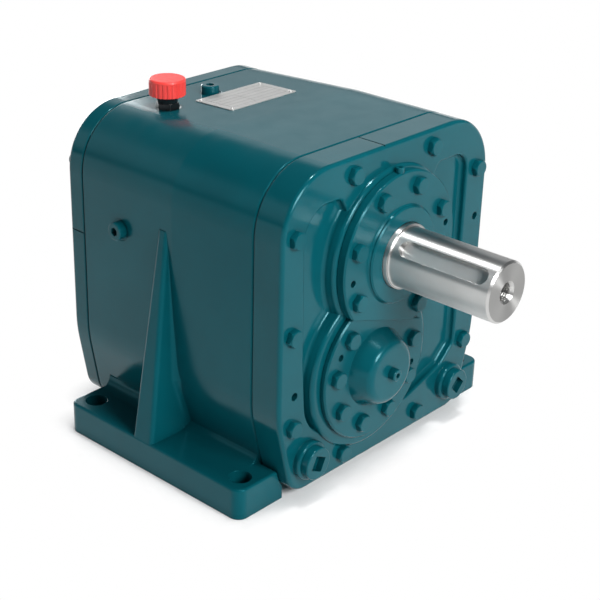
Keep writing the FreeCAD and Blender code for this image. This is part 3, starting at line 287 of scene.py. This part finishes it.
def moulded(name, colour, deep, gloss, grain):
    """Injection-moulded plastic with a faint grain, its colour darkened in each groove as painted shade."""
    material, tree, shader, place = blank_finish(name)
    flow = spread(tree, noise(tree, place, scale=70.0, detail=3.0), low=0.0, high=0.5)
    tone = blended(tree, flow, colour, deep)
    # Painted shade: ambient occlusion darkens the colour at the bottom of each groove.
    groove_shade = spread(tree, hollows(tree, reach=0.003), low=0.45, high=0.0, start=0.3, end=0.9)
    tree.links.new(blended(tree, groove_shade, tone, deep), shader.inputs["Base Color"])
    handled = noise(tree, place, scale=240.0, detail=4.0)
    tree.links.new(spread(tree, handled, low=gloss - 0.05, high=gloss + 0.07), shader.inputs["Roughness"])
    mould_grain = noise(tree, place, scale=1500.0, detail=2.0)
    rounded = softened_edges(tree, radius=0.0006)
    skin = bumped(tree, mould_grain, distance=0.0001, strength=grain, under=rounded)
    tree.links.new(skin, shader.inputs["Normal"])
    return material


breather_black = moulded("breather_black", colour=(0.008, 0.011, 0.013), deep=(0.003, 0.004, 0.005),
                         gloss=0.30, grain=0.15)
dress(breather_black, "breather_body")
breather_red = moulded("breather_red", colour=(0.84, 0.056, 0.047), deep=(0.74, 0.036, 0.032),
                       gloss=0.38, grain=0.20)
dress(breather_red, "breather_cap")


# Nameplate: a thin aluminium sheet with a brushed face, printed with blank ruled fields.
# Four round-headed drive screws hold it on the sloping top of the housing.

sheet_pale = (0.60, 0.60, 0.59)
sheet_hazy = (0.48, 0.48, 0.47)
brush_dark = (0.35, 0.35, 0.34)
brush_grain = (25.0, 900.0, 900.0)
plate_aluminium, tree, shader, place = blank_finish("plate_aluminium")
stretch = tree.nodes.new("ShaderNodeMapping")
stretch.inputs["Scale"].default_value = brush_grain
tree.links.new(place, stretch.inputs["Vector"])
brushed = noise(tree, stretch.outputs["Vector"], scale=1.0, detail=5.0, roughness=0.6)
haze = noise(tree, place, scale=90.0, detail=4.0)
tone = blended(tree, spread(tree, haze, low=0.0, high=0.6), sheet_pale, sheet_hazy)
tone = blended(tree, spread(tree, brushed, low=0.0, high=0.4), tone, brush_dark)
tree.links.new(tone, shader.inputs["Base Color"])
tree.links.new(bumped(tree, brushed, distance=0.00008, strength=0.3), shader.inputs["Normal"])
tree.links.new(spread(tree, brushed, low=0.38, high=0.52), shader.inputs["Roughness"])
shader.inputs["Metallic"].default_value = 0.55
dress(plate_aluminium, "nameplate", "nameplate_screws")

ink_dark = (0.20, 0.20, 0.20)
ink_worn = (0.36, 0.36, 0.36)
plate_ink, tree, shader, place = blank_finish("plate_ink")
wear = noise(tree, place, scale=700.0, detail=4.0)
tree.links.new(blended(tree, wear, ink_dark, ink_worn), shader.inputs["Base Color"])
tree.links.new(spread(tree, wear, low=0.45, high=0.65), shader.inputs["Roughness"])

plate_sheet, ink_rise, ink_width, ink_inset = 0.0008, 0.00006, 0.0006, 0.0075
field_rows, field_split = 5, 0.42
plate_low, plate_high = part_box("nameplate")
plate_fall = (plate_high.z - plate_low.z - plate_sheet) / (plate_high.y - plate_low.y)


def ink_bar(x0, y0, x1, y1):
    """Corners of one printed line on the sloping plate, its foot first."""
    corners = ((x0, y0), (x1, y0), (x1, y1), (x0, y1))
    return [(x, y, plate_high.z - plate_fall * (y - plate_low.y) + rise) for rise in (0.0, ink_rise)
            for x, y in corners]


def new_piece(name, corners, faces, material):
    """Mesh piece in the scene, with its finish."""
    mesh = bpy.data.meshes.new(name)
    mesh.from_pydata(corners, [], faces)
    mesh.materials.append(material)
    piece = bpy.data.objects.new(name, mesh)
    bpy.context.scene.collection.objects.link(piece)
    return piece


field_left, field_right = plate_low.x + ink_inset, plate_high.x - ink_inset
field_front, field_rear = plate_low.y + ink_inset, plate_high.y - ink_inset
column = field_left + field_split * (field_right - field_left)
row = (field_rear - field_front) / field_rows
row_fronts = [field_front + i * row for i in range(field_rows + 1)]
bars = [ink_bar(field_left, y, field_right, y + ink_width) for y in row_fronts]
bars += [ink_bar(x, field_front, x + ink_width, field_rear) for x in (field_left, field_right - ink_width)]
bars.append(ink_bar(column, field_front, column + ink_width, field_rear - row))
bar_faces = [(4, 5, 6, 7), (0, 1, 5, 4), (1, 2, 6, 5), (2, 3, 7, 6), (3, 0, 4, 7)]
bar_corners = len(bars[0])
field_corners = [corner for bar in bars for corner in bar]
field_faces = [[bar_corners * i + k for k in face] for i in range(len(bars)) for face in bar_faces]
nameplate_fields = new_piece("nameplate_fields", field_corners, field_faces, plate_ink)
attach(nameplate_fields, "housing")


# Shafts: forged steel, turned and ground on the seats and milled for the keys. The ends stay bare and oiled.
# Each outer end has a tapped hole for a screw, with a thread ridge on its wall coloured dark as painted
# shade inside the hole.

shaft_steel = worked_steel("shaft_steel", light=(0.74, 0.74, 0.73), dark=(0.52, 0.52, 0.51), gloss=0.36,
                           lines=2200.0, axis=main_axis)
dress(shaft_steel, "output_shaft", "input_pinion_shaft")
countershaft_steel = worked_steel("countershaft_steel", light=(0.60, 0.60, 0.59), dark=(0.40, 0.40, 0.39),
                                  gloss=0.26, lines=1300.0, axis=counter_axis)
dress(countershaft_steel, "countershaft")
# Painted shade: the thread's steel is made dark to stand for the shade inside the tapped hole.
thread_in_shade = worked_steel("thread_in_shade", light=(0.30, 0.30, 0.29), dark=(0.18, 0.18, 0.17), gloss=0.40,
                            lines=900.0, axis=main_axis)


def tapped_thread(name, body, radius, pitch, mouth, bottom):
    """Right-hand thread ridge, three corners at each step, on the wall of a tapped hole in a shaft end."""
    height, flank, bite, steps_a_turn = 0.35 * pitch, 0.44 * pitch, 0.0001, 32
    crest, root = radius - height, radius + bite
    steps = int(abs(bottom - mouth) / pitch * steps_a_turn)
    corners = []
    for i in range(steps + 1):
        y = min(mouth, bottom) + pitch * i / steps_a_turn
        angle = -math.tau * i / steps_a_turn
        for out, along in ((root, -flank), (crest, 0.0), (root, flank)):
            x, z = main_axis[0] + out * math.cos(angle), main_axis[1] + out * math.sin(angle)
            corners.append((x, y + along, z))
    quads = [(3 * i + k, 3 * i + k + 3, 3 * i + k + 4, 3 * i + k + 1) for i in range(steps) for k in (0, 1)]
    thread = new_piece(name, corners, quads, thread_in_shade)
    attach(thread, body)


output_end, input_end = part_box("output_shaft")[0].y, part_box("input_pinion_shaft")[1].y
tapped_thread("output_tap_thread", "output_shaft_line", radius=0.00875, pitch=0.0025,
              mouth=output_end + 0.004, bottom=output_end + 0.036)
tapped_thread("input_tap_thread", "input_shaft_line", radius=0.0051, pitch=0.00175,
              mouth=input_end - 0.003, bottom=input_end - 0.024)


# Gears, keys and spacers: hobbed and hardened steel wheels, each held to its shaft by a key.
# Turned steel sleeves set them apart from the bearings.

gear_pale, gear_dark = (0.46, 0.45, 0.43), (0.28, 0.27, 0.26)
gear_steel = worked_steel("gear_steel", gear_pale, gear_dark, gloss=0.32, lines=1000.0, axis=main_axis)
dress(gear_steel, "output_gear", "output_gear_key")
fast_gear_steel = worked_steel("fast_gear_steel", gear_pale, gear_dark, gloss=0.32, lines=1000.0,
                               axis=counter_axis)
dress(fast_gear_steel, "high_speed_gear", "high_speed_gear_key")
sleeve_pale, sleeve_dark = (0.52, 0.52, 0.51), (0.35, 0.35, 0.34)
sleeve_steel = worked_steel("sleeve_steel", sleeve_pale, sleeve_dark, gloss=0.30, lines=900.0,
                            axis=main_axis)
dress(sleeve_steel, "output_spacer")
counter_sleeve_steel = worked_steel("counter_sleeve_steel", sleeve_pale, sleeve_dark, gloss=0.30,
                                    lines=900.0, axis=counter_axis)
dress(counter_sleeve_steel, "countershaft_spacer")


# Bearings: six taper roller bearings of hardened and ground steel, two on each shaft line.
# Their cups are pressed into the castings and their cones on to the shafts, with a set of rollers between.

race_pale, race_dark = (0.62, 0.62, 0.61), (0.45, 0.45, 0.44)
bearing_axes = {"output_front": main_axis, "output_rear": main_axis, "countershaft_front": counter_axis,
                "countershaft_rear": counter_axis, "input_front": main_axis, "input_rear": main_axis}
for bearing, bearing_axis in bearing_axes.items():
    race_steel = worked_steel(bearing + "_bearing_steel", race_pale, race_dark, gloss=0.16, lines=1600.0,
                              axis=bearing_axis)
    dress(race_steel, *(bearing + "_bearing_" + piece for piece in ("cup", "cone", "rollers")))


# Oil seals: black nitrile rubber lips moulded on steel rings.
# They are pressed into the output and input cages and close round the turning shafts.

rubber_black = (0.010, 0.010, 0.010)
rubber_bloom = (0.030, 0.030, 0.031)
seal_rubber, tree, shader, place = blank_finish("seal_rubber")
bloom = noise(tree, place, scale=160.0, detail=4.0)
tree.links.new(blended(tree, bloom, rubber_black, rubber_bloom), shader.inputs["Base Color"])
tree.links.new(spread(tree, bloom, low=0.45, high=0.65), shader.inputs["Roughness"])
rubber_grain = noise(tree, place, scale=1200.0)
tree.links.new(bumped(tree, rubber_grain, distance=0.0001, strength=0.2), shader.inputs["Normal"])
dress(seal_rubber, "output_oil_seal", "input_oil_seal")


# Studio: a wide floor of white paper, seen as plain white except where the object's contact shadow falls.
# The room is dim, with a white horizon and a pale panel behind. A soft lamp stands in front, a small one
# hangs overhead, and a weak wide one lights the back.

floor_reach, floor_drop, shadow_reach = 60.0, 0.0003, 0.035
paper_white = (0.93, 0.93, 0.93, 1.0)
wall_dim, panel_pale, horizon_white = (0.07, 0.075, 0.08), (0.80, 0.81, 0.82), (1.0, 1.0, 1.0)


def white_when_seen(tree):
    """1 for rays that show the background as it is, straight or by reflection."""
    path = tree.nodes.new("ShaderNodeLightPath")
    seen_by_any = path.outputs["Is Camera Ray"]
    for ray in ("Is Glossy Ray", "Is Transmission Ray"):
        seen_by_any = reckoned(tree, "MAXIMUM", seen_by_any, path.outputs[ray])
    return seen_by_any


studio_paper = bpy.data.materials.new("studio_paper")
studio_paper.use_nodes = True
tree = studio_paper.node_tree
tree.nodes.clear()
paper = tree.nodes.new("ShaderNodeBsdfDiffuse")
paper.inputs["Color"].default_value = paper_white
glow = tree.nodes.new("ShaderNodeEmission")
glow.inputs["Strength"].default_value = 1.0
near_object = hollows(tree, reach=shadow_reach)
clear_of_shadow = spread(tree, near_object, low=0.0, high=1.0, start=0.50, end=0.86)
mixed = tree.nodes.new("ShaderNodeMixShader")
tree.links.new(reckoned(tree, "MULTIPLY", clear_of_shadow, white_when_seen(tree)), mixed.inputs["Fac"])
tree.links.new(paper.outputs[0], mixed.inputs[1])
tree.links.new(glow.outputs[0], mixed.inputs[2])
paper_output = tree.nodes.new("ShaderNodeOutputMaterial")
tree.links.new(mixed.outputs[0], paper_output.inputs["Surface"])

floor_corners = [(x * floor_reach, y * floor_reach, 0.0) for x, y in ((-1, -1), (1, -1), (1, 1), (-1, 1))]
floor = new_piece("studio_floor", floor_corners, [(0, 1, 2, 3)], studio_paper)
floor.location.z = -floor_drop

studio_world = bpy.data.worlds.new("studio_world")
bpy.context.scene.world = studio_world
studio_world.use_nodes = True
tree = studio_world.node_tree
tree.nodes.clear()
way = tree.nodes.new("ShaderNodeSeparateXYZ")
tree.links.new(tree.nodes.new("ShaderNodeTexCoord").outputs["Generated"], way.inputs["Vector"])
behind = spread(tree, way.outputs["Y"], low=0.0, high=1.0, start=0.0, end=0.5)
above_foot = spread(tree, way.outputs["Z"], low=0.0, high=1.0, start=0.12, end=0.26)
below_head = spread(tree, way.outputs["Z"], low=1.0, high=0.0, start=0.48, end=0.60)
panel = reckoned(tree, "MULTIPLY", reckoned(tree, "MULTIPLY", behind, above_foot), below_head)
walls = blended(tree, panel, wall_dim, panel_pale)
horizon = spread(tree, way.outputs["Z"], low=1.0, high=0.0, start=0.05, end=0.10)
room = tree.nodes.new("ShaderNodeBackground")
tree.links.new(blended(tree, horizon, walls, horizon_white), room.inputs["Color"])
room_output = tree.nodes.new("ShaderNodeOutputWorld")
tree.links.new(room.outputs[0], room_output.inputs["Surface"])

aim = Vector((0.0, -0.0232, 0.1341))


def soft_lamp(name, direction, distance, size, power):
    """Square lamp that stands off in a direction and faces the object."""
    lamp = bpy.data.lights.new(name, "AREA")
    lamp.shape = "SQUARE"
    lamp.size = size
    lamp.energy = power
    holder = bpy.data.objects.new(name, lamp)
    bpy.context.scene.collection.objects.link(holder)
    towards = Vector(direction).normalized()
    holder.location = aim + towards * distance
    holder.rotation_euler = towards.to_track_quat("Z", "Y").to_euler()


soft_lamp("key_lamp", direction=(-0.14, -0.87, 0.48), distance=1.7, size=0.6, power=28.5)
soft_lamp("top_lamp", direction=(0.06, -0.10, 0.99), distance=1.7, size=0.19, power=17.0)
soft_lamp("back_lamp", direction=(0.36, 0.92, 0.16), distance=1.9, size=0.9, power=17.0)


# Camera: it stands where the photograph was taken from, a little rolled, with a long lens.
# Its angles, distance and focal length come from a fit to the object's own straight edges.

azimuth, elevation, roll = math.radians(-48.47), math.radians(25.33), math.radians(1.68)
view_distance, focal_pixels, picture_pixels = 1.444, 1400.8, 600
back = Vector((math.sin(azimuth) * math.cos(elevation), -math.cos(azimuth) * math.cos(elevation),
               math.sin(elevation)))
level_right = Vector((math.cos(azimuth), math.sin(azimuth), 0.0))
level_up = back.cross(level_right)
right = math.cos(roll) * level_right + math.sin(roll) * level_up
up = math.cos(roll) * level_up - math.sin(roll) * level_right
camera = bpy.data.objects.new("photo_camera", bpy.data.cameras.new("photo_camera"))
bpy.context.scene.collection.objects.link(camera)
camera.data.sensor_width = 36.0
camera.data.lens = camera.data.sensor_width * focal_pixels / picture_pixels
turn = Matrix((right, up, back)).transposed().to_4x4()
camera.matrix_world = Matrix.Translation(aim + back * view_distance) @ turn
bpy.context.scene.camera = camera
bpy.context.scene.view_settings.view_transform = "Standard"
